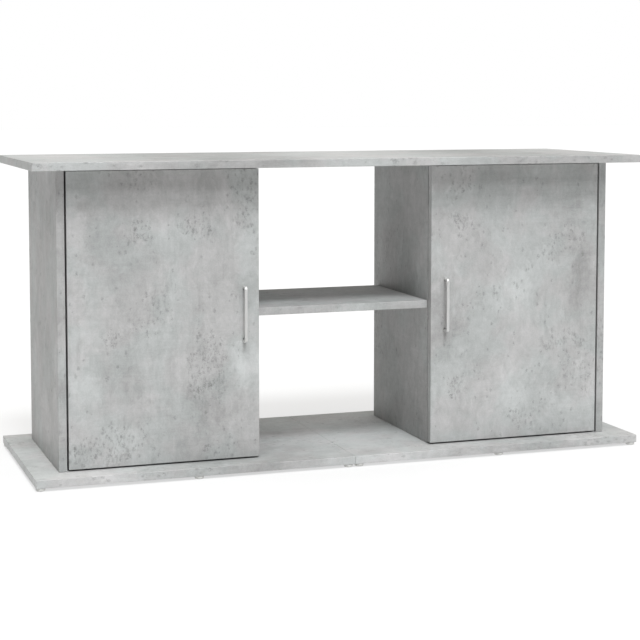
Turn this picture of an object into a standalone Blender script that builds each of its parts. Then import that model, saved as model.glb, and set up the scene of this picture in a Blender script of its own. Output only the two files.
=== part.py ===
"""Aquarium stand cabinet: two door cabinets joined by a top board and a bay shelf.

Metres, +Z up. X runs along the stand, the doors face -Y, and Z = 0 is the floor under the
foot glides. The stand is the same on both sides of X = 0, so each side is built by a loop
with side = -1 on the left and +1 on the right.
"""

import math

import bmesh
import bpy
from mathutils import Matrix, Vector

# Driving dimensions
WIDTH = 1.210
DEPTH = 0.410
BODY_HEIGHT = 0.580
BOARD = 0.015
FOOT_HEIGHT = 0.006
OVERHANG = 0.050
BAY_WIDTH = 0.350
BACK_BOARD = 0.003
BACK_INSET = 0.010
GROOVE_DEPTH = 0.005
SHELF_TOP = 0.304
SHELF_SETBACK = 0.020

# Clearances
FIT = 0.0003
DOOR_GAP = 0.003
HINGE_GAP = 0.0035
EDGE_ROUND = 0.0008

# Levels and faces that follow from them
BASE_TOP = FOOT_HEIGHT + BOARD
TOP = FOOT_HEIGHT + BODY_HEIGHT
TOP_UNDER = TOP - BOARD
FRONT = OVERHANG - DEPTH / 2
BACK = -FRONT
OUTER_FACE = WIDTH / 2 - OVERHANG
HINGE_FACE = OUTER_FACE - BOARD
BAY_FACE = BAY_WIDTH / 2
INNER_FACE = BAY_FACE + BOARD
DOOR_REAR = FRONT + BOARD
PANEL_FRONT = DOOR_REAR + DOOR_GAP
DOOR_LOW = BASE_TOP + DOOR_GAP
DOOR_HIGH = TOP_UNDER - DOOR_GAP
DOOR_MIDDLE = (DOOR_LOW + DOOR_HIGH) / 2
BACK_BOARD_REAR = BACK - BACK_INSET

# Foot glides, nailed under the base boards
GLIDE_RADIUS = 0.0090
NAIL_RADIUS = 0.0010
NAIL_LENGTH = 0.011
GLIDE_X = (0.0110, 0.3035, 0.5955)
GLIDE_Y = 0.195

# Handles, a bow held by two screws through the door
HANDLE_X = BAY_FACE + 0.0295
HANDLE_LENGTH = 0.106
HANDLE_CENTRES = 0.096
HANDLE_REACH = 0.0168
HANDLE_WIDTH = 0.006
HANDLE_BAR = 0.005
HANDLE_OUTER_RADIUS = 0.005
HANDLE_INNER_RADIUS = 0.003
HANDLE_EDGE_ROUND = 0.0010
HANDLE_BORE = 0.0018
HANDLE_BORE_DEPTH = 0.0130
HANDLE_SCREW_RADIUS = 0.0015
DOOR_SCREW_BORE = 0.0024

# Dowels between the panels and the top board
DOWEL_RADIUS = 0.004
DOWEL_IN_PANEL = 0.020
DOWEL_IN_TOP = 0.009
DOWEL_Y = (-0.105, 0.105)

# Screws through the inner panels into the ends of the bay shelf
SHELF_SCREW_Y = (-0.095, 0.095)
SHELF_SCREW_LENGTH = 0.050
SCREW_HEAD_RADIUS = 0.0050
SCREW_HEAD_HEIGHT = 0.0035
SCREW_NECK_RADIUS = 0.0033
SCREW_SHANK_RADIUS = 0.0022

# Concealed hinges. Their pieces are placed by inboard, the distance from the outer panel's
# inner face towards the middle of the stand, and by depth, the distance behind the door's front.
HINGE_FROM_DOOR_END = 0.085
DOOR_AXIS = (0.0100, 0.0050)
LINK_AXIS = (0.0260, 0.0145)
LINK_END = (0.0112, 0.0108)
LINK_BEND = (0.0185, 0.0068)
LINK_WIDTH = 0.0030
LINK_HALF_HEIGHT = 0.0032
LINK_EYE_RADIUS = 0.0026
PIN_RADIUS = 0.0012
CUP_INBOARD = 0.0240
CUP_RADIUS = 0.0175
CUP_BORE_RADIUS = 0.0165
CUP_DEPTH = 0.0115
CUP_FLOOR = 0.0008
FLANGE_THICKNESS = 0.0010
FLANGE_RADIUS = 0.0183
FLANGE_HALF_WIDTH = 0.0100
FLANGE_HALF_HEIGHT = 0.0270
ARM_HALF_HEIGHT = 0.0065
ARM_NOSE_RADIUS = 0.0035
PLATE_RAIL_HEIGHT = 0.0080
PLATE_HALF_HEIGHT = 0.0260

ROUND_STEPS = 24
SMALL_ROUND_STEPS = 12
GLIDE_STEPS = 16
SIDES = (("left", -1), ("right", 1))

# Surfaces: colour, roughness and, for the metals, metallic
LAMINATE = ((0.50, 0.50, 0.49), 0.55)
HARDBOARD = ((0.52, 0.51, 0.49), 0.70)
SILVER = ((0.72, 0.72, 0.71), 0.30, 1.0)
STEEL = ((0.56, 0.56, 0.55), 0.32, 1.0)
ZINC = ((0.62, 0.60, 0.56), 0.38, 1.0)
GLIDE_PLASTIC = ((0.60, 0.60, 0.58), 0.50)
BEECH = ((0.62, 0.46, 0.30), 0.70)


def clear_scene():
    for thing in list(bpy.data.objects):
        bpy.data.objects.remove(thing)


def material(name, colour, roughness, metallic=0.0):
    made = bpy.data.materials.new(name)
    made.use_nodes = True
    shader = made.node_tree.nodes["Principled BSDF"]
    shader.inputs["Base Color"].default_value = (*colour, 1.0)
    shader.inputs["Roughness"].default_value = roughness
    shader.inputs["Metallic"].default_value = metallic
    return made


def finished(name, shape, surface):
    """The named object that holds a bmesh, with its faces pointing out."""
    bmesh.ops.recalc_face_normals(shape, faces=shape.faces)
    mesh = bpy.data.meshes.new(name)
    shape.to_mesh(mesh)
    shape.free()
    thing = bpy.data.objects.new(name, mesh)
    bpy.context.scene.collection.objects.link(thing)
    thing.data.materials.append(material(name, *surface))
    return thing


def as_cutter(thing):
    thing.hide_render = True
    thing.display_type = "WIRE"
    return thing


def combine(target, other, operation):
    """Cuts a helper from the target, or joins it on. The helper moves with the target."""
    step = target.modifiers.new(other.name, "BOOLEAN")
    step.operation = operation
    step.solver = "EXACT"
    step.object = as_cutter(other)
    other.parent = target


def soften(thing, width, segments):
    step = thing.modifiers.new("soft_edges", "BEVEL")
    step.width = width
    step.segments = segments
    step.limit_method = "ANGLE"


def shade_round(thing):
    thing.data.shade_smooth()
    thing.data.set_sharp_from_angle(angle=math.radians(35))


def add_block(shape, low, high):
    centre = (Vector(low) + Vector(high)) / 2
    size = Vector(high) - Vector(low)
    place = Matrix.Translation(centre) @ Matrix.Diagonal((*size, 1.0))
    bmesh.ops.create_cube(shape, size=1.0, matrix=place)


def add_rod(shape, start, end, radius, steps):
    start, end = Vector(start), Vector(end)
    run = end - start
    turn = run.to_track_quat("Z", "Y").to_matrix().to_4x4()
    place = Matrix.Translation((start + end) / 2) @ turn
    bmesh.ops.create_cone(
        shape, cap_ends=True, segments=steps, radius1=radius, radius2=radius,
        depth=run.length, matrix=place,
    )


def block(name, corner, opposite, surface):
    """A block between two opposite corners, given in either order."""
    low, high = zip(*(sorted(pair) for pair in zip(corner, opposite)))
    shape = bmesh.new()
    add_block(shape, low, high)
    return finished(name, shape, surface)


def rod(name, start, end, radius, surface, steps=SMALL_ROUND_STEPS):
    shape = bmesh.new()
    add_rod(shape, start, end, radius, steps)
    return finished(name, shape, surface)


def prism(name, outline, place, low, high, surface):
    """A straight prism. place(a, b, c) turns an outline point and a level into a position."""
    shape = bmesh.new()
    ring = [shape.verts.new(place(a, b, low)) for a, b in outline]
    made = bmesh.ops.extrude_face_region(shape, geom=[shape.faces.new(ring)], use_keep_orig=True)
    moved = [v for v in made["geom"] if isinstance(v, bmesh.types.BMVert)]
    rise = Vector(place(0, 0, high)) - Vector(place(0, 0, low))
    bmesh.ops.translate(shape, verts=moved, vec=rise)
    return finished(name, shape, surface)


def turned(name, profile, foot, axis, surface, steps=SMALL_ROUND_STEPS):
    """A turned piece. The profile is (radius, distance along the axis from foot), end to end."""
    shape = bmesh.new()
    points = [shape.verts.new((radius, 0, along)) for radius, along in profile]
    edges = [shape.edges.new(pair) for pair in zip(points, points[1:])]
    bmesh.ops.spin(
        shape, geom=points + edges, cent=(0, 0, 0), axis=(0, 0, 1),
        angle=math.tau, steps=steps, use_duplicate=False,
    )
    bmesh.ops.remove_doubles(shape, verts=shape.verts, dist=1e-6)
    turn = Vector(axis).to_track_quat("Z", "Y").to_matrix().to_4x4()
    bmesh.ops.transform(shape, matrix=Matrix.Translation(foot) @ turn, verts=shape.verts)
    thing = finished(name, shape, surface)
    shade_round(thing)
    return thing


def arc(centre, radius, start, end, steps):
    """Points from the angle start to the angle end, in degrees, round a centre."""
    angles = [math.radians(start + (end - start) * i / steps) for i in range(steps + 1)]
    return [(centre[0] + radius * math.cos(a), centre[1] + radius * math.sin(a)) for a in angles]


def set_on_axis(pieces, name, at):
    """Hangs pieces on an empty that stands on their joint's axis."""
    pivot = bpy.data.objects.new(name, None)
    pivot.location = at
    bpy.context.scene.collection.objects.link(pivot)
    for piece in pieces:
        piece.parent = pivot
        piece.matrix_parent_inverse = Matrix.Translation(at).inverted()


def board(name, corner, opposite):
    thing = block(name, corner, opposite, LAMINATE)
    soften(thing, EDGE_ROUND, 2)
    return thing


def cut_rods(target, rods, label="_bores", steps=SMALL_ROUND_STEPS):
    """Cuts one set of round holes, each (start, end, radius), that don't meet each other."""
    shape = bmesh.new()
    for start, end, radius in rods:
        add_rod(shape, start, end, radius, steps)
    combine(target, finished(target.name + label, shape, LAMINATE), "DIFFERENCE")


def dowel_places():
    """(name, x, y) of each dowel between a panel and the top board."""
    for side_name, side in SIDES:
        for panel, face in (("outer", HINGE_FACE), ("inner", BAY_FACE)):
            for place, y in zip(("front", "back"), DOWEL_Y):
                yield f"top_dowel_{side_name}_{panel}_{place}", side * (face + BOARD / 2), y


def glide_places():
    """(name, side, x, y) of each foot glide."""
    for side_name, side in SIDES:
        for column, x in zip(("seam", "middle", "end"), GLIDE_X):
            for row, y in (("front", -GLIDE_Y), ("back", GLIDE_Y)):
                yield f"foot_glide_{side_name}_{column}_{row}", side, side * x, y


def top_board():
    half_x, half_y = WIDTH / 2, DEPTH / 2
    thing = board("top_board", (-half_x, -half_y, TOP_UNDER), (half_x, half_y, TOP))
    depth = TOP_UNDER + DOWEL_IN_TOP + 2 * FIT
    radius = DOWEL_RADIUS + FIT
    rods = [((x, y, TOP_UNDER - BOARD), (x, y, depth), radius) for _, x, y in dowel_places()]
    cut_rods(thing, rods)


def base_board(side_name, side):
    seam_corner = (side * FIT / 2, -DEPTH / 2, FOOT_HEIGHT)
    end_corner = (side * WIDTH / 2, DEPTH / 2, BASE_TOP)
    thing = board("base_board_" + side_name, seam_corner, end_corner)
    depth = FOOT_HEIGHT + NAIL_LENGTH + 2 * FIT
    rods = [
        ((x, y, 0), (x, y, depth), NAIL_RADIUS + FIT)
        for _, glide_side, x, y in glide_places()
        if glide_side == side
    ]
    cut_rods(thing, rods)


def foot_glide(name, x, y):
    """A plastic disc with its nail, as one piece."""
    top = FOOT_HEIGHT - FIT
    profile = [
        (0, 0),
        (0.0066, 0),
        (0.0078, 0.0008),
        (0.0088, 0.0028),
        (GLIDE_RADIUS, 0.0046),
        (GLIDE_RADIUS, top),
        (NAIL_RADIUS, top),
        (NAIL_RADIUS, top + NAIL_LENGTH - NAIL_RADIUS),
        (0, top + NAIL_LENGTH),
    ]
    turned(name, profile, (x, y, 0), (0, 0, 1), GLIDE_PLASTIC, GLIDE_STEPS)


def panel(name, side, near, front, groove_near):
    """An upright board from x = near outwards, with the groove that takes the thin back board."""
    thing = board(
        name,
        (side * near, front, BASE_TOP + FIT),
        (side * (near + BOARD), BACK, TOP_UNDER - FIT),
    )
    cutter = block(
        name + "_groove",
        (side * (groove_near - FIT), BACK_BOARD_REAR - BACK_BOARD - FIT, 0),
        (side * (groove_near + GROOVE_DEPTH + 2 * FIT), BACK_BOARD_REAR + FIT, TOP),
        LAMINATE,
    )
    combine(thing, cutter, "DIFFERENCE")
    x = side * (near + BOARD / 2)
    depth = TOP_UNDER - DOWEL_IN_PANEL - 2 * FIT
    return thing, [((x, y, depth), (x, y, TOP), DOWEL_RADIUS + FIT) for y in DOWEL_Y]


def outer_panel(side_name, side):
    name = "outer_side_panel_" + side_name
    thing, rods = panel(name, side, HINGE_FACE, FRONT, HINGE_FACE)
    cut_rods(thing, rods)


def shelf_level():
    return SHELF_TOP - BOARD / 2


def inner_panel(side_name, side):
    name = "inner_side_panel_" + side_name
    thing, rods = panel(name, side, BAY_FACE, PANEL_FRONT, INNER_FACE - GROOVE_DEPTH - FIT)
    z = shelf_level()
    head_seat = INNER_FACE - SCREW_HEAD_HEIGHT - FIT
    for y in SHELF_SCREW_Y:
        neck = ((side * (BAY_FACE - BOARD), y, z), (side * (INNER_FACE + BOARD), y, z))
        rods.append((*neck, SCREW_NECK_RADIUS + FIT))
    cut_rods(thing, rods)
    seats = [
        ((side * head_seat, y, z), (side * (INNER_FACE + BOARD), y, z), SCREW_HEAD_RADIUS + FIT)
        for y in SHELF_SCREW_Y
    ]
    cut_rods(thing, seats, "_screw_seats")


def back_board(side_name, side):
    """Thin hardboard that slides down in the grooves of the two panels."""
    near = INNER_FACE - GROOVE_DEPTH + FIT
    far = HINGE_FACE + GROOVE_DEPTH - FIT
    block(
        "back_board_" + side_name,
        (side * near, BACK_BOARD_REAR - BACK_BOARD, BASE_TOP + FIT),
        (side * far, BACK_BOARD_REAR, TOP_UNDER - FIT),
        HARDBOARD,
    )


def bay_shelf():
    half = BAY_FACE - FIT
    thing = board(
        "bay_shelf",
        (-half, PANEL_FRONT, SHELF_TOP - BOARD),
        (half, BACK - SHELF_SETBACK, SHELF_TOP),
    )
    z = shelf_level()
    deep = BAY_FACE - (SHELF_SCREW_LENGTH - BOARD) - 2 * FIT
    rods = [
        ((side * deep, y, z), (side * (half + BOARD), y, z), SCREW_SHANK_RADIUS + FIT)
        for _, side in SIDES
        for y in SHELF_SCREW_Y
    ]
    cut_rods(thing, rods)


def shelf_screws():
    """Chipboard screws with countersunk heads, driven from inside the door cabinets."""
    profile = [
        (0, 0),
        (SCREW_HEAD_RADIUS, 0),
        (SCREW_HEAD_RADIUS, 0.0008),
        (SCREW_NECK_RADIUS, SCREW_HEAD_HEIGHT),
        (SCREW_NECK_RADIUS, BOARD - 0.0020),
        (SCREW_SHANK_RADIUS, BOARD - 0.0008),
        (SCREW_SHANK_RADIUS, SHELF_SCREW_LENGTH - 0.0040),
        (0, SHELF_SCREW_LENGTH),
    ]
    for side_name, side in SIDES:
        for place, y in zip(("front", "back"), SHELF_SCREW_Y):
            name = f"shelf_screw_{side_name}_{place}"
            start = (side * (INNER_FACE - FIT), y, shelf_level())
            turned(name, profile, start, (-side, 0, 0), STEEL)


def top_dowels():
    chamfer = 0.0010
    length = DOWEL_IN_PANEL + DOWEL_IN_TOP
    profile = [
        (0, 0),
        (DOWEL_RADIUS - chamfer, 0),
        (DOWEL_RADIUS, chamfer),
        (DOWEL_RADIUS, length - chamfer),
        (DOWEL_RADIUS - chamfer, length),
        (0, length),
    ]
    for name, x, y in dowel_places():
        turned(name, profile, (x, y, TOP_UNDER - DOWEL_IN_PANEL), (0, 0, 1), BEECH)


def handle_outline():
    """The bow seen from its side: (y, z) from the door's front, with z from its middle."""
    face, rear = FRONT - HANDLE_REACH, FRONT - HANDLE_REACH + HANDLE_BAR
    foot = FRONT - FIT
    half = HANDLE_LENGTH / 2
    inner = HANDLE_CENTRES - half
    outer_r, inner_r = HANDLE_OUTER_RADIUS, HANDLE_INNER_RADIUS
    return [
        (foot, half),
        *arc((face + outer_r, half - outer_r), outer_r, 90, 180, 6),
        *arc((face + outer_r, outer_r - half), outer_r, 180, 270, 6),
        (foot, -half),
        (foot, -inner),
        *arc((rear + inner_r, inner_r - inner), inner_r, 270, 180, 4),
        *arc((rear + inner_r, inner - inner_r), inner_r, 180, 90, 4),
        (foot, inner),
    ]


def handle(side_name, side):
    x = side * HANDLE_X
    thing = prism(
        "handle_" + side_name,
        handle_outline(),
        lambda y, z, level: (level, y, z + DOOR_MIDDLE),
        x - HANDLE_WIDTH / 2,
        x + HANDLE_WIDTH / 2,
        SILVER,
    )
    soften(thing, HANDLE_EDGE_ROUND, 2)
    shade_round(thing)
    rods = [
        ((x, FRONT + BOARD, z), (x, FRONT - HANDLE_BORE_DEPTH, z), HANDLE_BORE)
        for z in handle_screw_levels()
    ]
    cut_rods(thing, rods)
    return thing


def handle_screw_levels():
    return (DOOR_MIDDLE - HANDLE_CENTRES / 2, DOOR_MIDDLE + HANDLE_CENTRES / 2)


def handle_screws(side_name, side):
    head_radius, head_height = 0.0042, 0.0024
    tip = head_height + FIT + BOARD + HANDLE_BORE_DEPTH - 2 * FIT
    profile = [
        (0, 0),
        (0.0026, 0.0004),
        (head_radius, 0.0016),
        (head_radius, head_height),
        (HANDLE_SCREW_RADIUS, head_height),
        (HANDLE_SCREW_RADIUS, tip - 0.0008),
        (0, tip),
    ]
    start = DOOR_REAR + FIT + head_height
    return [
        turned(f"handle_screw_{side_name}_{place}", profile, (side * HANDLE_X, start, z),
               (0, -1, 0), STEEL)
        for place, z in zip(("lower", "upper"), handle_screw_levels())
    ]


def hinge_point(side, inboard, depth, z):
    return (side * (HINGE_FACE - inboard), FRONT + depth, z)


def hinge_levels():
    return (
        ("lower", DOOR_LOW + HINGE_FROM_DOOR_END),
        ("upper", DOOR_HIGH - HINGE_FROM_DOOR_END),
    )


def door(side_name, side):
    thing = board(
        "door_" + side_name,
        (side * BAY_FACE, FRONT, DOOR_LOW),
        (side * (HINGE_FACE - HINGE_GAP), DOOR_REAR, DOOR_HIGH),
    )
    floor = BOARD - CUP_DEPTH - FIT
    cups = [
        (hinge_point(side, CUP_INBOARD, floor, z),
         hinge_point(side, CUP_INBOARD, 2 * BOARD, z), CUP_RADIUS + FIT)
        for _, z in hinge_levels()
    ]
    cut_rods(thing, cups, "_cup_bores", ROUND_STEPS)
    x = side * HANDLE_X
    cut_rods(thing, [
        ((x, FRONT - BOARD, z), (x, DOOR_REAR + BOARD, z), DOOR_SCREW_BORE)
        for z in handle_screw_levels()
    ])
    return thing


def hinge_cup(name, side, z):
    """The steel cup in the door, with the flange that is screwed to the door's rear face."""
    bottom = BOARD - CUP_DEPTH
    under = BOARD + FIT
    top = under + FLANGE_THICKNESS

    def disc(label, low, high, radius):
        start = hinge_point(side, CUP_INBOARD, low, z)
        end = hinge_point(side, CUP_INBOARD, high, z)
        return rod(name + label, start, end, radius, ZINC, ROUND_STEPS)

    thing = disc("", bottom, top, CUP_RADIUS)
    wings = block(
        name + "_wings",
        hinge_point(side, CUP_INBOARD - FLANGE_HALF_WIDTH, under, z - FLANGE_HALF_HEIGHT),
        hinge_point(side, CUP_INBOARD + FLANGE_HALF_WIDTH, top, z + FLANGE_HALF_HEIGHT),
        ZINC,
    )
    combine(thing, wings, "UNION")
    combine(thing, disc("_rim", under, top, FLANGE_RADIUS), "UNION")
    combine(thing, disc("_mouth", bottom + CUP_FLOOR, 2 * BOARD, CUP_BORE_RADIUS), "DIFFERENCE")
    return thing


def circle_through(first, middle, last):
    """Centre and radius of the circle through three points of a plane."""
    ax, ay = first
    bx, by = middle
    cx, cy = last
    scale = 2 * (ax * (by - cy) + bx * (cy - ay) + cx * (ay - by))
    a, b, c = ax * ax + ay * ay, bx * bx + by * by, cx * cx + cy * cy
    x = (a * (by - cy) + b * (cy - ay) + c * (ay - by)) / scale
    y = (a * (cx - bx) + b * (ax - cx) + c * (bx - ax)) / scale
    return (x, y), math.hypot(ax - x, ay - y)


def link_outline():
    """A curved strip with a round end at LINK_END, run to the middle of the eye at LINK_AXIS."""
    centre, radius = circle_through(LINK_END, LINK_BEND, LINK_AXIS)
    start = math.degrees(math.atan2(LINK_END[1] - centre[1], LINK_END[0] - centre[0]))
    end = math.degrees(math.atan2(LINK_AXIS[1] - centre[1], LINK_AXIS[0] - centre[0]))
    start, end = start % 360, end % 360
    if end < start:
        end += 360
    half = LINK_WIDTH / 2
    return [
        *arc(centre, radius + half, start, end, 7),
        *arc(centre, radius - half, end, start, 7),
        *arc(LINK_END, half, start - 180, start - 360, 5)[1:-1],
    ]


def hinge_link(name, side, z):
    """The curved link between arm and cup, with the eye and the rivet it turns on."""
    thing = prism(
        name,
        link_outline(),
        lambda inboard, depth, level: hinge_point(side, inboard, depth, level),
        z - LINK_HALF_HEIGHT,
        z + LINK_HALF_HEIGHT,
        STEEL,
    )
    for label, radius, half in (
        ("_eye", LINK_EYE_RADIUS, LINK_HALF_HEIGHT),
        ("_rivet", PIN_RADIUS, ARM_HALF_HEIGHT - FIT),
    ):
        start = hinge_point(side, *LINK_AXIS, z - half)
        end = hinge_point(side, *LINK_AXIS, z + half)
        combine(thing, rod(name + label, start, end, radius, STEEL), "UNION")
    return thing


def arm_outline():
    """The cranked arm seen along the hinge axis, as (inboard, depth)."""
    nose_in, nose_depth = LINK_AXIS
    rail = PLATE_RAIL_HEIGHT + 2 * FIT
    return [
        *arc(LINK_AXIS, ARM_NOSE_RADIUS, 180, 360, 8),
        (nose_in + ARM_NOSE_RADIUS, 0.0225),
        (0.0172, 0.0365),
        (0.0172, 0.0790),
        *arc((0.0152, 0.0790), 0.0020, 0, 90, 3)[1:],
        (rail, 0.0810),
        (rail, 0.0330),
        (0.0040, 0.0310),
        (0.0040, 0.0245),
        (0.0140, 0.0195),
        (nose_in - ARM_NOSE_RADIUS, 0.0195),
    ]


def hinge_arm(name, side, z):
    """The steel arm on the mounting plate, with a fork at its nose for the link."""
    thing = prism(
        name,
        arm_outline(),
        lambda inboard, depth, level: hinge_point(side, inboard, depth, level),
        z - ARM_HALF_HEIGHT,
        z + ARM_HALF_HEIGHT,
        ZINC,
    )
    half = LINK_HALF_HEIGHT + FIT
    reach = LINK_AXIS[1] + LINK_EYE_RADIUS + 2 * FIT
    fork = block(
        name + "_fork",
        hinge_point(side, LINK_AXIS[0] - 0.0060, 0, z - half),
        hinge_point(side, LINK_AXIS[0] + 0.0060, reach, z + half),
        ZINC,
    )
    combine(thing, fork, "DIFFERENCE")
    cut_rods(thing, [
        (hinge_point(side, *LINK_AXIS, z - 2 * ARM_HALF_HEIGHT),
         hinge_point(side, *LINK_AXIS, z + 2 * ARM_HALF_HEIGHT), PIN_RADIUS + FIT),
    ])
    return thing


def hinge_plate(name, side, z):
    """The mounting plate on the outer panel: a flat wing plate with a rail for the arm."""
    wings = block(
        name,
        hinge_point(side, FIT, 0.0440, z - PLATE_HALF_HEIGHT),
        hinge_point(side, FIT + 0.0020, 0.0620, z + PLATE_HALF_HEIGHT),
        ZINC,
    )
    rail = block(
        name + "_rail",
        hinge_point(side, FIT, 0.0345, z - ARM_HALF_HEIGHT),
        hinge_point(side, PLATE_RAIL_HEIGHT, 0.0770, z + ARM_HALF_HEIGHT),
        ZINC,
    )
    combine(wings, rail, "UNION")


def hinged_side(side_name, side):
    """One door with its handle and cups, its hinge links, and the fixed half of its hinges."""
    on_door = [door(side_name, side), handle(side_name, side), *handle_screws(side_name, side)]
    on_link = []
    for place, z in hinge_levels():
        label = f"{side_name}_{place}"
        on_door.append(hinge_cup("hinge_cup_" + label, side, z))
        on_link.append(hinge_link("hinge_link_" + label, side, z))
        hinge_arm("hinge_arm_" + label, side, z)
        hinge_plate("hinge_plate_" + label, side, z)
    set_on_axis(on_door, side_name + "_door_axis", hinge_point(side, *DOOR_AXIS, DOOR_MIDDLE))
    set_on_axis(on_link, side_name + "_link_axis", hinge_point(side, *LINK_AXIS, DOOR_MIDDLE))


def main():
    clear_scene()
    top_board()
    bay_shelf()
    for side_name, side in SIDES:
        base_board(side_name, side)
        outer_panel(side_name, side)
        inner_panel(side_name, side)
        back_board(side_name, side)
        hinged_side(side_name, side)
    for name, _, x, y in glide_places():
        foot_glide(name, x, y)
    shelf_screws()
    top_dowels()


main()
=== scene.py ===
"""Looks of the aquarium stand cabinet: materials, fittings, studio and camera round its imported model.

Metres, +Z up, in the frame of the CAD part: X runs along the stand and the doors face -Y.
The stand is the same on both sides of X = 0, so pairs are built by loops with side -1 and +1.
"""

import math

import bmesh
import bpy
from mathutils import Matrix, Vector


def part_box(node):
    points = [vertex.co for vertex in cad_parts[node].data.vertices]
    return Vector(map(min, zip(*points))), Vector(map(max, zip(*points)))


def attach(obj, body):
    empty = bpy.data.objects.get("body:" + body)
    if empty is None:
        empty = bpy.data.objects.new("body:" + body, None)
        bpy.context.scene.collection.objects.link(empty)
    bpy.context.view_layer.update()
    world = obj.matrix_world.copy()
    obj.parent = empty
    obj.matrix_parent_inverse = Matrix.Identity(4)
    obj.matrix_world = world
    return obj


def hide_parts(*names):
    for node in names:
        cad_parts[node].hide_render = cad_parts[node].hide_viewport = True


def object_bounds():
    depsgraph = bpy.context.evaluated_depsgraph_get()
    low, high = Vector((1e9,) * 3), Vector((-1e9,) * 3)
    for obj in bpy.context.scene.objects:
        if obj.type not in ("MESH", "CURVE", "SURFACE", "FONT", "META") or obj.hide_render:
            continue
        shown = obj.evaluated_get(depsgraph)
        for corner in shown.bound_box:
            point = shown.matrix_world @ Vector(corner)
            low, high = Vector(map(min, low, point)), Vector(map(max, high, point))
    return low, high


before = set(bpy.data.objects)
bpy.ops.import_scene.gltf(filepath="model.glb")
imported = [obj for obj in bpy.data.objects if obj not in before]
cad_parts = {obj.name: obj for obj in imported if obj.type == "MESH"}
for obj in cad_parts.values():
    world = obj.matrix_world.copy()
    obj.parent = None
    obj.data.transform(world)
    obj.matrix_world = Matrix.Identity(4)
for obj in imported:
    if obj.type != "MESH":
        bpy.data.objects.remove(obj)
CAD_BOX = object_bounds()

SIDES = (("left", -1), ("right", 1))
PLACES = ("lower", "upper")

# Camera, at the viewing angle of the product picture
CAMERA_PLACE = (-1.0565, -3.0500, 0.7024)
CAMERA_PITCH = 4.507
CAMERA_YAW = 19.101
CAMERA_LENS = 91.25
CAMERA_SHIFT = -0.15

# Studio: each light is (kind, bearing, height, spread, strength). A bearing of 0 is in front of
# the doors and 90 is to the right; a glow is a soft patch of the sky, narrower as spread grows.
LIGHTS = (
    ("sun", -3.0, 40.0, 16.0, 0.66),
    ("sun", -3.0, 60.0, 16.0, 1.91),
    ("sun", -25.0, 50.0, 16.0, 0.16),
    ("glow", 0.0, 90.0, 3.0, 2.42),
    ("floor", 0.0, 0.0, 0.0, 0.57),
)
FLOOR_ALBEDO = 0.30
SUN_COLOUR = (0.975, 1.000, 1.025)
SKY_COLOUR = (1.000, 0.978, 0.940)
FLOOR_SIZE = 60.0

# Laminate, as albedo
LAMINATE_DARK = (0.262, 0.264, 0.260)
LAMINATE_LIGHT = (0.546, 0.550, 0.548)
LAMINATE_PIT = (0.120, 0.120, 0.116)
LAMINATE_WARM = (1.012, 0.998, 0.998)
LAMINATE_COOL = (0.980, 1.002, 0.997)

# Layers of the print. Scales are in features per metre, shares are parts of the whole tone.
SKIMS = ((6.0, 11.3, 0.13), (10.5, 23.9, -0.12), (17.0, 5.7, 0.10))  # scale, shift, share
BLOTCHES = ((34.0, 0.42), (95.0, 0.62))  # scale, share
STREAKS = (  # drawn across the board's length, scale, share
    (False, 75.0, 0.42), (True, 90.0, 0.36), (False, 240.0, 0.22), (True, 300.0, 0.20),
)
GRAIN_SCALE = 420.0
PRINT_REPEAT = 0.60
PRINT_START = 0.53

# Broad tones in the print: (centre, half size, tone). A half size of None runs right through.
DOOR_TONES = (
    ((-0.455, 0, 0.440), (0.045, None, 0.060), -0.08),
    ((-0.520, 0, 0.440), (0.025, None, 0.080), 0.14),
    ((-0.355, 0, 0.460), (0.035, None, 0.040), 0.12),
    ((-0.205, 0, 0.180), (0.050, None, 0.060), 0.30),
    ((-0.290, 0, 0.130), (0.050, None, 0.060), -0.20),
    ((-0.520, 0, 0.160), (0.030, None, 0.050), 0.20),
    ((-0.455, 0, 0.200), (0.045, None, 0.045), -0.10),
    ((-0.360, 0, 0.270), (0.050, None, 0.070), 0.10),
    ((0.510, 0, 0.360), (0.045, None, 0.120), -0.26),
    ((0.240, 0, 0.430), (0.040, None, 0.050), 0.12),
    ((0.345, 0, 0.320), (0.050, None, 0.070), 0.20),
    ((0.205, 0, 0.250), (0.040, None, 0.090), -0.26),
    ((0.345, 0, 0.130), (0.045, None, 0.080), 0.20),
    ((0.510, 0, 0.110), (0.040, None, 0.060), 0.14),
)
# Where the doors' pits crowd together: (centre, half size)
DOOR_PITS = (
    ((-0.465, 0, 0.050), (0.085, None, 0.045)),
    ((-0.285, 0, 0.200), (0.040, None, 0.090)),
    ((-0.295, 0, 0.450), (0.035, None, 0.035)),
    ((-0.410, 0, 0.455), (0.030, None, 0.030)),
    ((-0.450, 0, 0.265), (0.025, None, 0.020)),
    ((0.240, 0, 0.455), (0.025, None, 0.040)),
    ((0.230, 0, 0.130), (0.035, None, 0.030)),
    ((0.455, 0, 0.210), (0.050, None, 0.020)),
    ((0.355, 0, 0.060), (0.035, None, 0.025)),
)
# Base board's broad tones, (centre, half size, tone): the first is in the print, by the lip before the
# left door; the second is painted light.
LEVEL_TONES_AND_PAINTED_LIGHT = (
    ((-0.380, -0.050, 0.012), (0.160, 0.250, 0.03), 0.12),
    # painted light: lightens the bay floor between the cabinets, in the shade of the top board and the
    # doors
    ((0.000, 0.000, 0.012), (0.240, 0.250, 0.03), 0.24),
)
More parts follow.
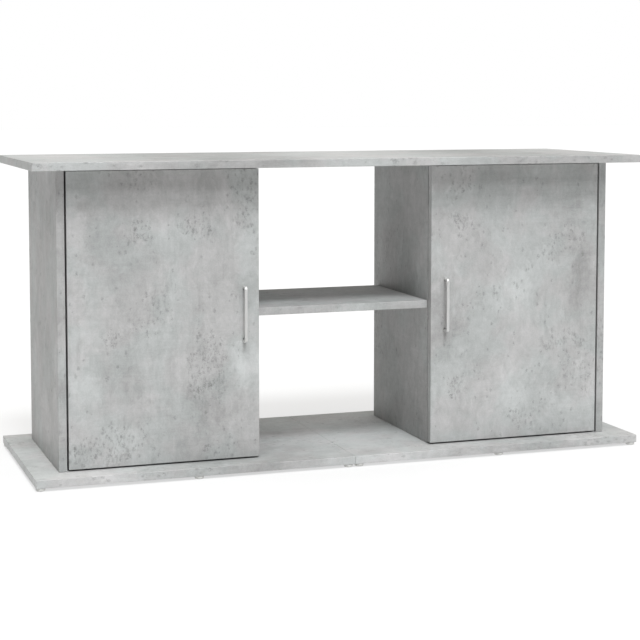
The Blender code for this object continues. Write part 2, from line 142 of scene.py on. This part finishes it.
# Side panels' broad tones, (centre, half size, tone). The first is in the print; the other three are
# painted light and shade.
SIDE_TONES_AND_PAINTED_LIGHT = (
    ((-0.555, 0.000, 0.230), (0.03, 0.110, 0.110), -0.16),
    # painted light: lightens the top of the left outer side, where the top board's overhang shades it
    ((-0.555, 0.060, 0.520), (0.03, 0.110, 0.080), 0.24),
    # painted light: lightens the foot of the left outer side, where it is shaded by the base board
    ((-0.555, 0.000, 0.060), (0.03, 0.140, 0.070), 0.26),
    # painted shade: darkens the lower back of the right inner panel, deep in the bay
    ((0.175, 0.060, 0.120), (0.03, 0.100, 0.080), -0.12),
)

# Handles: a rounded bar bent at both ends
HANDLE_BAR = 0.0050
HANDLE_CORNER = 0.0042
HANDLE_EDGE = 0.0013
HANDLE_FIT = 0.0003
HANDLE_CORNER_STEPS = 8
HANDLE_EDGE_STEPS = 4

# Screws: (head's radius, its height, the crown's rise), and where they stand. Depths run back
# from the front edge of the outer panels, insets from the end of the hinge's piece.
BASE_SCREW = (0.0045, 0.0010, 0.0002)
BASE_SCREW_SINK = 0.0006
BASE_SCREW_Y = (("front", -0.105), ("back", 0.105))
CUP_SCREW = (0.0034, 0.0006, 0.0006)
CUP_SCREW_INSET = 0.0047
PLATE_SCREW = (0.0037, 0.0006, 0.0008)
PLATE_SCREW_INSET = 0.0062
PLATE_SCREW_DEPTH = 0.0530
PLATE_THICKNESS = 0.0020
ARM_SCREW = (0.0029, 0.0006, 0.0003)
ARM_SCREW_DEPTHS = (("front", 0.0440), ("back", 0.0690))
ARM_SCREW_HEIGHT = 0.0169

CAM_LEVEL = 0.034
CAM_Y = (("front", -0.070), ("back", 0.070))
BUMPER_FROM_END = 0.040


# ---------------------------------------------------------------- materials


class Surface:
    """One material: a Principled shader, and short calls for the nodes that feed it."""

    def __init__(self, name, **uniform):
        self.material = bpy.data.materials.new(name)
        self.material.use_nodes = True
        self.tree = self.material.node_tree
        self.shader = self.tree.nodes["Principled BSDF"]
        for socket, value in uniform.items():
            self.shader.inputs[socket.replace("_", " ")].default_value = value
        self.place = self.add("ShaderNodeTexCoord").outputs["Object"]

    def add(self, kind, **settings):
        node = self.tree.nodes.new(kind)
        for name, value in settings.items():
            setattr(node, name, value)
        return node

    def feed(self, socket, value):
        if isinstance(value, bpy.types.NodeSocket):
            self.tree.links.new(value, socket)
        elif isinstance(value, tuple) and socket.type == "RGBA":
            socket.default_value = (*value, 1.0)
        else:
            socket.default_value = value

    def calc(self, operation, a, b=0.0, clamp=False):
        node = self.add("ShaderNodeMath", operation=operation, use_clamp=clamp)
        self.feed(node.inputs[0], a)
        self.feed(node.inputs[1], b)
        return node.outputs[0]

    def scaled(self, factors, vector=None):
        node = self.add("ShaderNodeVectorMath", operation="MULTIPLY")
        self.feed(node.inputs[0], vector or self.place)
        self.feed(node.inputs[1], factors)
        return node.outputs[0]

    def moved(self, vector, by):
        node = self.add("ShaderNodeVectorMath", operation="ADD")
        self.feed(node.inputs[0], vector)
        self.feed(node.inputs[1], by)
        return node.outputs[0]

    def noise(self, scale, detail=2.0, roughness=0.5, vector=None, distortion=0.0, output=0):
        node = self.add("ShaderNodeTexNoise")
        self.feed(node.inputs["Vector"], vector or self.place)
        self.feed(node.inputs["Scale"], scale)
        self.feed(node.inputs["Detail"], detail)
        self.feed(node.inputs["Roughness"], roughness)
        self.feed(node.inputs["Distortion"], distortion)
        return node.outputs[output]

    def cells(self, scale, vector=None):
        """Distance to the nearest cell's point, and that cell's two random numbers."""
        node = self.add("ShaderNodeTexVoronoi")
        self.feed(node.inputs["Vector"], vector or self.place)
        self.feed(node.inputs["Scale"], scale)
        split = self.add("ShaderNodeSeparateColor")
        self.feed(split.inputs[0], node.outputs["Color"])
        return node.outputs["Distance"], split.outputs[0], split.outputs[1]

    def ramp(self, value, low, high, start=0.0, end=1.0):
        """start where value is below low, end where it is above high, smooth between them."""
        node = self.add("ShaderNodeMapRange", interpolation_type="SMOOTHSTEP")
        for socket, number in zip(node.inputs, (value, low, high, start, end)):
            self.feed(socket, number)
        return node.outputs[0]

    def mix(self, factor, a, b, blend="MIX"):
        node = self.add("ShaderNodeMix", data_type="RGBA", blend_type=blend)
        self.feed(node.inputs["Factor"], factor)
        self.feed(node.inputs[6], a)
        self.feed(node.inputs[7], b)
        return node.outputs[2]

    def bump(self, height, strength, distance):
        node = self.add("ShaderNodeBump")
        self.feed(node.inputs["Strength"], strength)
        self.feed(node.inputs["Distance"], distance)
        self.feed(node.inputs["Height"], height)
        self.feed(self.shader.inputs["Normal"], node.outputs[0])

    def finish(self, colour=None, roughness=None):
        if colour is not None:
            self.feed(self.shader.inputs["Base Color"], colour)
        if roughness is not None:
            self.feed(self.shader.inputs["Roughness"], roughness)
        return self.material


def pits(surface, scale, smallest, largest, clusters, vector):
    """Small pits: one in some of the cells, more of them where clusters is high."""
    distance, size, chance = surface.cells(scale, vector)
    radius = surface.ramp(size, 0.0, 1.0, smallest, largest)
    inside = surface.calc("DIVIDE", distance, radius)
    ragged = surface.noise(5.0 * scale, 3.0, 0.6, vector)
    inside = surface.calc("ADD", inside, surface.ramp(ragged, 0.35, 0.65, -0.45, 0.55))
    shape = surface.ramp(inside, 0.30, 1.0, 1.0, 0.0)
    kept = surface.calc("LESS_THAN", chance, clusters)
    return surface.calc("MULTIPLY", shape, kept)


def drawn_out(along, factor):
    """Factors that draw a pattern out along one axis: the smaller, the longer."""
    return tuple(factor if axis == along else 1.0 for axis in range(3))


def streaked(along, across):
    """Factors that turn noise into streaks along one axis, or across it."""
    return tuple(0.11 if (axis == along) != across else 1.0 for axis in range(3))


def patch(s, vector, centre, half):
    """1 at the centre of an ellipsoid, falling smoothly to 0 outside it."""
    away = s.moved(vector, tuple(-c for c in centre))
    away = s.scaled(tuple(0.0 if h is None else 1.0 / h for h in half), away)
    far = s.add("ShaderNodeVectorMath", operation="LENGTH")
    s.feed(far.inputs[0], away)
    return s.ramp(far.outputs["Value"], 0.15, 1.25, 1.0, 0.0)


def laminate(name, along, offset, lift, tones=(), spots=(), wave=0.0):
    """Concrete-pattern laminate: clouds, trowelled skims, streaks both ways, grain and pits.

    The print runs along one axis and starts at offset. lift makes all of it lighter; a lower lift
    makes a darker copy, which is painted shade. tones and spots place its broad tones, some of them
    painted light and shade, and crowds of pits, and wave is how strongly it repeats along X.
    """
    s = Surface(name)
    place = s.moved(s.place, offset)
    bend = s.noise(7.0, 4.0, 0.6, place, output=1)
    half = s.moved(bend, (-0.5, -0.5, -0.5))
    bent = s.moved(place, s.scaled((0.06, 0.06, 0.06), half))

    clouds = s.noise(4.5, 9.0, 0.82, bent)
    level = s.calc("ADD", s.calc("MULTIPLY", clouds, 0.80), lift)
    for scale, shift, share in SKIMS:
        moved = s.moved(bent, (shift, -shift, 0.7 * shift))
        drawn = s.scaled(drawn_out(along, 0.55), moved)
        edge = s.ramp(s.noise(scale, 8.0, 0.68, drawn, 0.3), 0.485, 0.535, -0.5, 0.5)
        fade = s.ramp(s.noise(scale, 1.0, 0.5, s.moved(moved, (2.0, 3.0, 4.0))), 0.42, 0.62)
        level = s.calc("ADD", level, s.calc("MULTIPLY", s.calc("MULTIPLY", edge, fade), share))
    for scale, share in BLOTCHES:
        drawn = s.scaled(drawn_out(along, 0.6), bent)
        blotch = s.noise(scale, 5.0, 0.68, drawn, 0.4)
        level = s.calc("ADD", level, s.calc("MULTIPLY", s.calc("SUBTRACT", blotch, 0.5), share))
    for across, scale, share in STREAKS:
        lines = s.noise(scale, 4.0, 0.65, s.scaled(streaked(along, across), place))
        where = s.ramp(s.noise(5.0, 2.0, 0.5, s.moved(place, (scale, 0.0, scale))), 0.38, 0.62)
        lines = s.calc("MULTIPLY", s.calc("SUBTRACT", lines, 0.5), where)
        level = s.calc("ADD", level, s.calc("MULTIPLY", lines, share))
    grain = s.noise(GRAIN_SCALE, 4.0, 0.75, place)
    level = s.calc("ADD", level, s.calc("MULTIPLY", s.calc("SUBTRACT", grain, 0.5), 0.60))
    tear = s.moved(s.noise(11.0, 7.0, 0.72, place, output=1), (-0.5, -0.5, -0.5))
    warped = s.moved(s.place, s.scaled((0.16, 0.16, 0.16), tear))
    # broad tones of the print, and on some boards patches of painted light and shade
    for centre, size, tone in tones:
        level = s.calc("ADD", level, s.calc("MULTIPLY", patch(s, warped, centre, size), tone))
    if wave:
        split = s.add("ShaderNodeSeparateXYZ")
        s.feed(split.inputs[0], warped)
        run = s.calc("ADD", split.outputs[0], PRINT_START)
        turn = s.calc("MULTIPLY", run, math.tau / PRINT_REPEAT)
        level = s.calc("ADD", level, s.calc("MULTIPLY", s.calc("COSINE", turn), wave))

    clusters = s.noise(6.5, 3.0, 0.6, s.moved(place, (7.9, 2.2, 0.6)))
    clusters = s.ramp(clusters, 0.54, 0.64, 0.0, 0.45)
    for centre, size in spots:
        clusters = s.calc("MAXIMUM", clusters, patch(s, warped, centre, size))
    crumble = s.moved(s.noise(GRAIN_SCALE, 2.0, 0.6, place, output=1), (-0.5, -0.5, -0.5))
    warp = s.moved(place, s.scaled((0.006, 0.006, 0.006), crumble))
    warp = s.scaled(drawn_out(along, 0.6), warp)
    coarse = pits(s, 82.0, 0.16, 0.40, s.ramp(clusters, 0.0, 1.0, 0.02, 0.40), warp)
    fine = pits(s, 180.0, 0.28, 0.66, s.ramp(clusters, 0.0, 1.0, 0.03, 0.85), warp)
    specks = s.ramp(s.noise(230.0, 3.0, 0.65, warp), 0.53, 0.62)
    specks = s.calc("MULTIPLY", specks, s.ramp(clusters, 0.0, 1.0, 0.10, 1.0))

    colour = s.mix(level, LAMINATE_DARK, LAMINATE_LIGHT)
    patches = s.noise(9.0, 3.0, 0.6, s.moved(bent, (3.1, 1.7, 5.3)))
    tint = s.mix(s.ramp(patches, 0.42, 0.58), LAMINATE_WARM, LAMINATE_COOL)
    colour = s.mix(1.0, colour, tint, "MULTIPLY")
    for dots, strength in ((specks, 0.34), (fine, 0.42), (coarse, 0.50)):
        colour = s.mix(s.calc("MULTIPLY", dots, strength), colour, LAMINATE_PIT)

    holes = s.calc("MAXIMUM", coarse, s.calc("MULTIPLY", fine, 0.6))
    rough = s.calc("ADD", s.ramp(clouds, 0.3, 0.7, 0.50, 0.42), s.calc("MULTIPLY", holes, 0.25))
    relief = s.calc("SUBTRACT", s.calc("MULTIPLY", grain, 0.25), holes)
    s.bump(relief, 0.25, 0.00020)
    return s.finish(colour, rough)


def metal(name, colour, roughness, along, contrast=0.06):
    """Plated or satin metal: fine brushing along one axis, over a faint uneven sheen."""
    s = Surface(name, Metallic=1.0)
    slow = [1.0, 1.0, 1.0]
    slow[along] = 0.04
    brushed = s.noise(2400.0, 3.0, 0.6, s.scaled(tuple(slow)))
    worn = s.noise(90.0, 3.0, 0.6)
    dark = tuple(c * (1 - contrast) for c in colour)
    light = tuple(min(1.0, c * (1 + contrast)) for c in colour)
    tone = s.calc("ADD", s.calc("MULTIPLY", brushed, 0.7), s.calc("MULTIPLY", worn, 0.3))
    rough = s.ramp(tone, 0.3, 0.7, roughness - 0.05, roughness + 0.07)
    s.bump(brushed, 0.10, 0.00004)
    return s.finish(s.mix(s.ramp(tone, 0.3, 0.7), dark, light), rough)


def hardboard(name):
    """Thin hardboard with a grey paper face: short fibres and faint roller marks."""
    s = Surface(name)
    fibres = s.noise(420.0, 4.0, 0.75, s.scaled((1.0, 1.0, 0.22)), distortion=0.6)
    blotches = s.noise(14.0, 5.0, 0.7)
    tone = s.calc("ADD", s.calc("MULTIPLY", fibres, 0.55), s.calc("MULTIPLY", blotches, 0.45))
    colour = s.mix(s.ramp(tone, 0.34, 0.66), (0.330, 0.328, 0.315), (0.455, 0.452, 0.440))
    s.bump(fibres, 0.25, 0.0002)
    return s.finish(colour, s.ramp(tone, 0.3, 0.7, 0.74, 0.62))


def plastic(name, colour, roughness):
    """Moulded plastic with a fine spark-eroded grain."""
    s = Surface(name, IOR=1.46)
    grain = s.noise(1500.0, 2.0, 0.5)
    clouds = s.noise(120.0, 3.0, 0.6)
    darker = tuple(c * 0.90 for c in colour)
    s.bump(grain, 0.15, 0.00005)
    rough = s.ramp(grain, 0.3, 0.7, roughness - 0.06, roughness + 0.06)
    return s.finish(s.mix(s.ramp(clouds, 0.35, 0.65), darker, colour), rough)


def beech(name):
    """Beech with its grain along Z and short darker flecks."""
    s = Surface(name)
    grain = s.noise(900.0, 4.0, 0.65, s.scaled((1.0, 1.0, 0.05)))
    flecks = s.ramp(s.noise(1600.0, 1.0, 0.5, s.scaled((1.0, 1.0, 0.12))), 0.62, 0.70)
    colour = s.mix(s.ramp(grain, 0.3, 0.7), (0.42, 0.27, 0.15), (0.62, 0.45, 0.28))
    colour = s.mix(s.calc("MULTIPLY", flecks, 0.5), colour, (0.28, 0.16, 0.08))
    s.bump(grain, 0.2, 0.0001)
    return s.finish(colour, s.ramp(grain, 0.3, 0.7, 0.70, 0.58))


# ---------------------------------------------------------------- pieces


def finished(name, shape, material, angle=35.0):
    """The named object that holds a bmesh, smooth but for edges sharper than angle."""
    bmesh.ops.recalc_face_normals(shape, faces=shape.faces)
    mesh = bpy.data.meshes.new(name)
    shape.to_mesh(mesh)
    shape.free()
    mesh.shade_smooth()
    mesh.set_sharp_from_angle(angle=math.radians(angle))
    mesh.materials.append(material)
    piece = bpy.data.objects.new(name, mesh)
    bpy.context.scene.collection.objects.link(piece)
    return piece


def lathe(shape, profile, steps):
    """Turns (radius, height) points round the Z axis."""
    points = [shape.verts.new((radius, 0, height)) for radius, height in profile]
    edges = [shape.edges.new(pair) for pair in zip(points, points[1:])]
    bmesh.ops.spin(
        shape, geom=points + edges, cent=(0, 0, 0), axis=(0, 0, 1),
        angle=math.tau, steps=steps, use_duplicate=False,
    )
    bmesh.ops.remove_doubles(shape, verts=shape.verts, dist=1e-6)


def cross_cut(shape, reach, width, depth, top):
    """A closed tapered cross, the form of the recess that a cross-head driver fits."""
    for turn in (0.0, math.pi / 2):
        spin = Matrix.Rotation(turn, 4, "Z")
        made = bmesh.ops.create_cube(shape, size=1.0)["verts"]
        for vert in made:
            low = vert.co.z < 0
            share = 0.45 if low else 1.0
            vert.co = spin @ Vector((
                math.copysign(reach * share, vert.co.x),
                math.copysign(width / 2 * (0.7 if low else 1.0), vert.co.y),
                top - depth if low else top + depth,
            ))


def cut(piece, helper):
    """Cuts the helper's solid from the piece's mesh, for good, and removes the helper."""
    step = piece.modifiers.new("cut", "BOOLEAN")
    step.operation = "DIFFERENCE"
    step.solver = "EXACT"
    step.use_self = True
    step.object = helper
    bpy.context.view_layer.update()
    evaluated = piece.evaluated_get(bpy.context.evaluated_depsgraph_get())
    mesh = bpy.data.meshes.new_from_object(evaluated)
    piece.modifiers.clear()
    old = piece.data
    piece.data = mesh
    bpy.data.meshes.remove(old)
    bpy.data.objects.remove(helper)


def screw_head(name, radius, height, dome, material, steps=32):
    """A screw's head with a cross recess, its underside at Z = 0 and its crown towards +Z."""
    shape = bmesh.new()
    edge = min(0.0004, height * 0.3)
    lathe(shape, [
        (0, 0), (radius, 0), (radius, height - edge), (radius * 0.80, height + dome * 0.45),
        (radius * 0.45, height + dome * 0.85), (0, height + dome),
    ], steps)
    piece = finished(name, shape, material)
    helper = bmesh.new()
    cross_cut(helper, radius * 0.56, radius * 0.26, height * 0.8, height + dome * 0.6)
    cut(piece, finished(name + "_recess", helper, material))
    piece.data.shade_smooth()
    piece.data.set_sharp_from_angle(angle=math.radians(35))
    return piece


def aimed(foot, axis, roll=0.0):
    """The place that puts Z = 0 at foot and +Z along axis, rolled about it by degrees."""
    turn = Vector(axis).to_track_quat("Z", "Y").to_matrix().to_4x4()
    return Matrix.Translation(foot) @ turn @ Matrix.Rotation(math.radians(roll), 4, "Z")


def copies(model, places):
    """One copy of the model for each (name, place, body), then the model itself goes."""
    for name, place, body in places:
        piece = bpy.data.objects.new(name, model.data)
        bpy.context.scene.collection.objects.link(piece)
        piece.matrix_world = place
        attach(piece, body)
    bpy.data.objects.remove(model)


def handle(side_name, material):
    """A bow handle, in place of the plain one: its outline is swept with a rounded section."""
    node = "handle_" + side_name
    low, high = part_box(node)
    width = high.x - low.x
    bar, corner, radius = HANDLE_BAR, HANDLE_CORNER, HANDLE_EDGE
    centre_x = (low.x + high.x) / 2
    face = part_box("door_" + side_name)[0].y
    out = face - low.y - bar / 2
    half = (high.z - low.z) / 2 - bar / 2
    middle = (low.z + high.z) / 2
    line = [(HANDLE_FIT, -half)]
    for centre, first in ((-half + corner, 1), (half - corner, 0)):
        for i in range(HANDLE_CORNER_STEPS + 1):
            turn = math.pi / 2 * i / HANDLE_CORNER_STEPS
            if first:
                line.append((out - corner + corner * math.sin(turn),
                             centre - corner * math.cos(turn)))
            else:
                line.append((out - corner + corner * math.cos(turn),
                             centre + corner * math.sin(turn)))
    line.append((HANDLE_FIT, half))
    ring = []
    for cx, cy, start in (
        (width / 2 - radius, bar / 2 - radius, 0), (radius - width / 2, bar / 2 - radius, 90),
        (radius - width / 2, radius - bar / 2, 180), (width / 2 - radius, radius - bar / 2, 270),
    ):
        for i in range(HANDLE_EDGE_STEPS + 1):
            a = math.radians(start + 90 * i / HANDLE_EDGE_STEPS)
            ring.append((cx + radius * math.cos(a), cy + radius * math.sin(a)))
    shape = bmesh.new()
    rings = []
    for i, (outward, up) in enumerate(line):
        before = Vector(line[max(i - 1, 0)])
        after = Vector(line[min(i + 1, len(line) - 1)])
        run = (after - before).normalized()
        normal = Vector((run.y, -run.x))
        rings.append([
            shape.verts.new((
                centre_x + a,
                face - outward - normal.x * b,
                middle + up + normal.y * b,
            ))
            for a, b in ring
        ])
    for first, second in zip(rings, rings[1:]):
        for i in range(len(ring)):
            j = (i + 1) % len(ring)
            shape.faces.new((first[i], first[j], second[j], second[i]))
    shape.faces.new(rings[0])
    shape.faces.new(rings[-1])
    piece = finished("handle_bow_" + side_name, shape, material, 50.0)
    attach(piece, side_name + "_door")
    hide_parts(node)


def base_screws(material):
    """Countersunk screws up through the base boards into the panels."""
    model = screw_head("base_screw_model", *BASE_SCREW, material)
    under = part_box("base_board_left")[0].z
    places = []
    for side_name, _ in SIDES:
        for panel in ("outer", "inner"):
            low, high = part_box(f"{panel}_side_panel_{side_name}")
            x = (low.x + high.x) / 2
            for row, y in BASE_SCREW_Y:
                name = f"base_screw_{side_name}_{panel}_{row}"
                foot = (x, y, under + BASE_SCREW_SINK)
                place = aimed(foot, (0, 0, -1), 20 + 37 * len(places))
                places.append((name, place, "cabinet"))
    copies(model, places)


def hinge_screws(material):
    """Screws in the hinges' cup flanges and plates, and the two set screws of each arm."""
    flange = screw_head("flange_screw_model", *CUP_SCREW, material)
    plate = screw_head("plate_screw_model", *PLATE_SCREW, material)
    setter = screw_head("arm_screw_model", *ARM_SCREW, material)
    in_flange, in_plate, in_arm = [], [], []
    for side_name, side in SIDES:
        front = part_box("outer_side_panel_" + side_name)[0].y
        for place in PLACES:
            label = f"{side_name}_{place}"
            low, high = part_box("hinge_cup_" + label)
            x = (low.x + high.x) / 2
            ends = (("bottom", low.z + CUP_SCREW_INSET), ("top", high.z - CUP_SCREW_INSET))
            for end, z in ends:
                in_flange.append((
                    f"hinge_cup_screw_{label}_{end}",
                    aimed((x, high.y, z), (0, 1, 0), 25 + 31 * len(in_flange)),
                    side_name + "_door",
                ))
            low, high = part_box("hinge_plate_" + label)
            wall = low.x if side < 0 else high.x
            foot = (wall - side * PLATE_THICKNESS, front + PLATE_SCREW_DEPTH)
            ends = (("bottom", low.z + PLATE_SCREW_INSET), ("top", high.z - PLATE_SCREW_INSET))
            for end, z in ends:
                in_plate.append((
                    f"hinge_plate_screw_{label}_{end}",
                    aimed((*foot, z), (-side, 0, 0), 40 + 53 * len(in_plate)),
                    "cabinet",
                ))
            low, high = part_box("hinge_arm_" + label)
            top = wall - side * ARM_SCREW_HEIGHT
            z = (low.z + high.z) / 2
            for end, depth in ARM_SCREW_DEPTHS:
                in_arm.append((
                    f"hinge_arm_screw_{label}_{end}",
                    aimed((top, front + depth, z), (-side, 0, 0), 15 + 47 * len(in_arm)),
                    "cabinet",
                ))
    copies(flange, in_flange)
    copies(plate, in_plate)
    copies(setter, in_arm)


def cams(material):
    """Cam locks that pull the top board down: discs let into the panels' cabinet faces."""
    shape = bmesh.new()
    lathe(shape, [
        (0, 0), (0.0074, 0), (0.0074, 0.0004), (0.0070, 0.0007), (0.0062, 0.0007),
        (0.0060, 0.0004), (0.0, 0.0004),
    ], 40)
    model = finished("cam_model", shape, material)
    helper = bmesh.new()
    cross_cut(helper, 0.0036, 0.0014, 0.0003, 0.0003)
    cut(model, finished("cam_recess", helper, material))
    places = []
    for side_name, side in SIDES:
        for panel, inward in (("outer", -side), ("inner", side)):
            low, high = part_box(f"{panel}_side_panel_{side_name}")
            face = high.x if inward > 0 else low.x
            for row, y in CAM_Y:
                name = f"cam_lock_{side_name}_{panel}_{row}"
                foot = (face, y, high.z - CAM_LEVEL)
                place = aimed(foot, (inward, 0, 0), 10 + 29 * len(places))
                places.append((name, place, "cabinet"))
    copies(model, places)


def bumpers(material):
    """Soft clear dots on the inner panels' front edges, which the doors close against."""
    shape = bmesh.new()
    lathe(shape, [
        (0, 0), (0.0040, 0), (0.0040, 0.0008), (0.0036, 0.0016), (0.0026, 0.0022), (0, 0.0025),
    ], 28)
    model = finished("bumper_model", shape, material, 60.0)
    places = []
    for side_name, _ in SIDES:
        low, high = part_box("inner_side_panel_" + side_name)
        x = (low.x + high.x) / 2
        for place, z in (("lower", low.z + BUMPER_FROM_END), ("upper", high.z - BUMPER_FROM_END)):
            name = f"door_bumper_{side_name}_{place}"
            places.append((name, aimed((x, low.y, z), (0, -1, 0)), "cabinet"))
    copies(model, places)


def dress_frame(finishes):
    """Gives every CAD node the material of the longest prefix of its name."""
    for name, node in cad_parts.items():
        match = max((key for key in finishes if name.startswith(key)), key=len)
        node.data.materials.clear()
        node.data.materials.append(finishes[match])


# ---------------------------------------------------------------- studio


def direction(bearing, height):
    """Unit vector towards a light."""
    bearing, height = math.radians(bearing), math.radians(height)
    return Vector((
        math.sin(bearing) * math.cos(height),
        -math.cos(bearing) * math.cos(height),
        math.sin(height),
    ))


def sun(bearing, height, spread, strength):
    """A broad, far lamp, so that its light is as strong all over the floor."""
    lamp = bpy.data.lights.new("key", "SUN")
    lamp.angle = math.radians(spread)
    lamp.energy = strength
    lamp.color = SUN_COLOUR
    light = bpy.data.objects.new("key", lamp)
    light.rotation_euler = direction(bearing, height).to_track_quat("Z", "Y").to_euler()
    bpy.context.scene.collection.objects.link(light)


def studio_floor(glow):
    """A pale floor, lit a little from below like a light table."""
    shape = bmesh.new()
    bmesh.ops.create_grid(shape, x_segments=1, y_segments=1, size=FLOOR_SIZE / 2)
    pale = Surface("studio_floor", Roughness=0.9)
    pale.feed(pale.shader.inputs["Specular IOR Level"], 0.1)
    pale.feed(pale.shader.inputs["Emission Color"], (1.0, 1.0, 1.0))
    pale.feed(pale.shader.inputs["Emission Strength"], glow)
    floor = finished("floor", shape, pale.finish((FLOOR_ALBEDO,) * 3))
    floor.location.z = CAD_BOX[0].z


def sky(glows):
    """A white background, and for the light that falls on things, soft glows round the sky."""
    world = bpy.data.worlds.new("studio")
    world.use_nodes = True
    tree = world.node_tree
    nodes, link = tree.nodes, tree.links.new
    way = nodes.new("ShaderNodeTexCoord").outputs["Generated"]
    total = 0.0
    for bearing, height, spread, strength in glows:
        towards = nodes.new("ShaderNodeVectorMath")
        towards.operation = "DOT_PRODUCT"
        link(way, towards.inputs[0])
        towards.inputs[1].default_value = direction(bearing, height)
        steps = [("MAXIMUM", 0.0), ("POWER", spread), ("MULTIPLY", strength), ("ADD", total)]
        value = towards.outputs["Value"]
        for operation, other in steps:
            node = nodes.new("ShaderNodeMath")
            node.operation = operation
            link(value, node.inputs[0])
            if isinstance(other, float):
                node.inputs[1].default_value = other
            else:
                link(other, node.inputs[1])
            value = node.outputs[0]
        total = value
    link(total, nodes["Background"].inputs["Strength"])
    nodes["Background"].inputs["Color"].default_value = (*SKY_COLOUR, 1.0)
    seen = nodes.new("ShaderNodeBackground")
    seen.inputs["Color"].default_value = (1.0, 1.0, 1.0, 1.0)
    either = nodes.new("ShaderNodeMixShader")
    link(nodes.new("ShaderNodeLightPath").outputs["Is Camera Ray"], either.inputs[0])
    link(nodes["Background"].outputs[0], either.inputs[1])
    link(seen.outputs[0], either.inputs[2])
    link(either.outputs[0], nodes["World Output"].inputs[0])
    bpy.context.scene.world = world


def studio():
    """All lights, the floor and the background."""
    for kind, *place, strength in LIGHTS:
        if kind == "sun":
            sun(*place, strength)
        if kind == "floor":
            studio_floor(strength)
    sky([light[1:] for light in LIGHTS if light[0] == "glow"])
    bpy.context.scene.view_settings.view_transform = "Standard"


def camera():
    lens = bpy.data.cameras.new("camera")
    lens.lens = CAMERA_LENS
    lens.shift_y = CAMERA_SHIFT
    thing = bpy.data.objects.new("camera", lens)
    thing.location = CAMERA_PLACE
    thing.rotation_euler = (math.radians(90 - CAMERA_PITCH), 0, math.radians(-CAMERA_YAW))
    bpy.context.scene.collection.objects.link(thing)
    bpy.context.scene.camera = thing


def main():
    camera()
    studio()
    satin = metal("satin_silver", (0.70, 0.70, 0.69), 0.58, 2)
    nickel = metal("nickel_plate", (0.66, 0.65, 0.62), 0.26, 1)
    zinc = metal("zinc_plate", (0.60, 0.60, 0.59), 0.34, 0)
    pale = plastic("pale_plastic", (0.66, 0.66, 0.64), 0.45)
    doors = laminate("laminate_doors", 2, (0.0, 0.0, 0.0), 0.10, DOOR_TONES, DOOR_PITS)
    # painted shade: the side panels get a darker copy of the same laminate, its lower lift standing in
    # for the shade on faces turned from the key light
    shaded_upright = laminate("laminate_upright", 2, (2.0, 5.0, 7.0), -0.07, SIDE_TONES_AND_PAINTED_LIGHT)
    level = laminate("laminate_level", 0, (4.0, 9.0, 2.0), 0.10, LEVEL_TONES_AND_PAINTED_LIGHT, wave=0.20)
    shelf = laminate("laminate_shelf", 0, (1.0, 3.0, 6.0), 0.05)
    dress_frame({
        "top_board": level,
        "base_board": level,
        "bay_shelf": shelf,
        "outer_side_panel": shaded_upright,
        "inner_side_panel": shaded_upright,
        "door": doors,
        "back_board": hardboard("grey_hardboard"),
        "handle": satin,
        "handle_screw": zinc,
        "hinge": nickel,
        "shelf_screw": zinc,
        "foot_glide": pale,
        "top_dowel": beech("beech"),
    })
    for side_name, _ in SIDES:
        handle(side_name, satin)
    base_screws(zinc)
    hinge_screws(zinc)
    cams(zinc)
    bumpers(plastic("clear_soft_plastic", (0.78, 0.79, 0.78), 0.25))


main()
